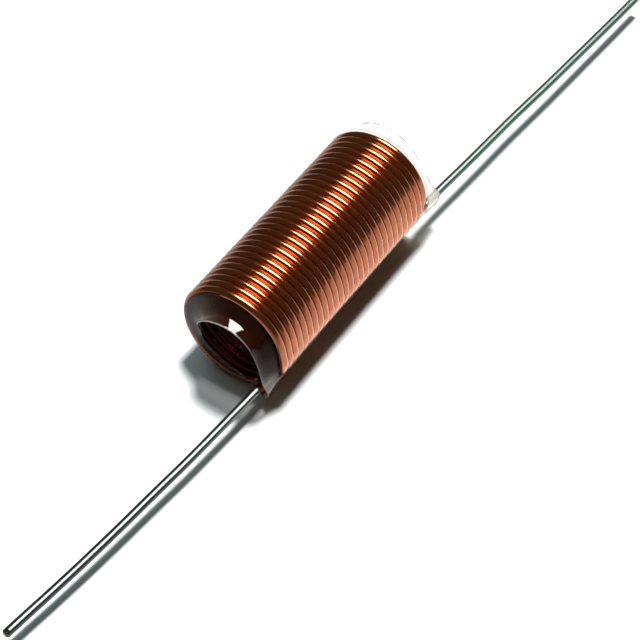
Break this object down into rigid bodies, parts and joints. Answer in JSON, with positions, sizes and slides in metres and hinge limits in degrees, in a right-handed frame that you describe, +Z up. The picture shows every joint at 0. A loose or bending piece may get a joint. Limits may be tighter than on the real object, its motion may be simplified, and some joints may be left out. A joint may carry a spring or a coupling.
{
  "type": "air core inductor",
  "caption": "Axial air core inductor: enamelled copper wire wound close in a single layer, tinned straight leads, clear shrunk sleeve",
  "frame": {"origin": "on the coil's axis, halfway between the two ends of the sleeve's straight wall", "axes": "+X along the coil's axis towards the far lead, +Z up as it lies on its sleeve, +Y to the left looking along +X"},
  "size_m": [0.1265, 0.0168, 0.0149],
  "materials": {
    "enamelled_copper": "drawn copper wire under clear red-brown enamel, glossy",
    "tin": "bright tin coat on the stripped leads",
    "clear_film": "clear heat-shrunk film, glossy"
  },
  "bodies": {
    "root": {"winding": "enamelled_copper", "near_lead_tin": "tin", "far_lead_tin": "tin", "sleeve": "clear_film"}
  },
  "joints": []
}
